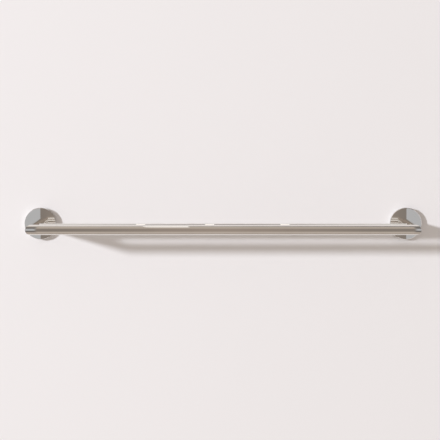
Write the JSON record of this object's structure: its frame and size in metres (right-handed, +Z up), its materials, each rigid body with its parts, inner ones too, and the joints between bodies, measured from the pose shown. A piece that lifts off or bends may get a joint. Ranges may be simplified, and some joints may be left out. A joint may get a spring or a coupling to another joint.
{
  "type": "double towel rail",
  "caption": "Wall-mounted double towel rail in polished chrome: a mitred round-tube frame with a front and a rear rail on two round flanges.",
  "frame": {"origin": "on the wall plane, midway between the two posts, at the height of their axes", "axes": "+X along the rails to the right as seen from the room, +Y into the wall, +Z up"},
  "size_m": [0.652, 0.118, 0.052],
  "materials": {
    "polished_chrome": "mirror polish",
    "bare_brass": "turned",
    "screw_steel": "bright",
    "spring_steel": "oiled",
    "plate_steel": "satin"
  },
  "bodies": {
    "root": {"front_rail": "polished_chrome", "rear_rail": "polished_chrome", "left_post": "polished_chrome", "left_flange": "polished_chrome", "left_post_insert": "bare_brass", "left_flange_screw": "screw_steel", "left_lock_washer": "spring_steel", "left_mounting_plate": "plate_steel", "left_grub_screw": "screw_steel", "right_post": "polished_chrome", "right_flange": "polished_chrome", "right_post_insert": "bare_brass", "right_flange_screw": "screw_steel", "right_lock_washer": "spring_steel", "right_mounting_plate": "plate_steel", "right_grub_screw": "screw_steel"}
  },
  "joints": []
}
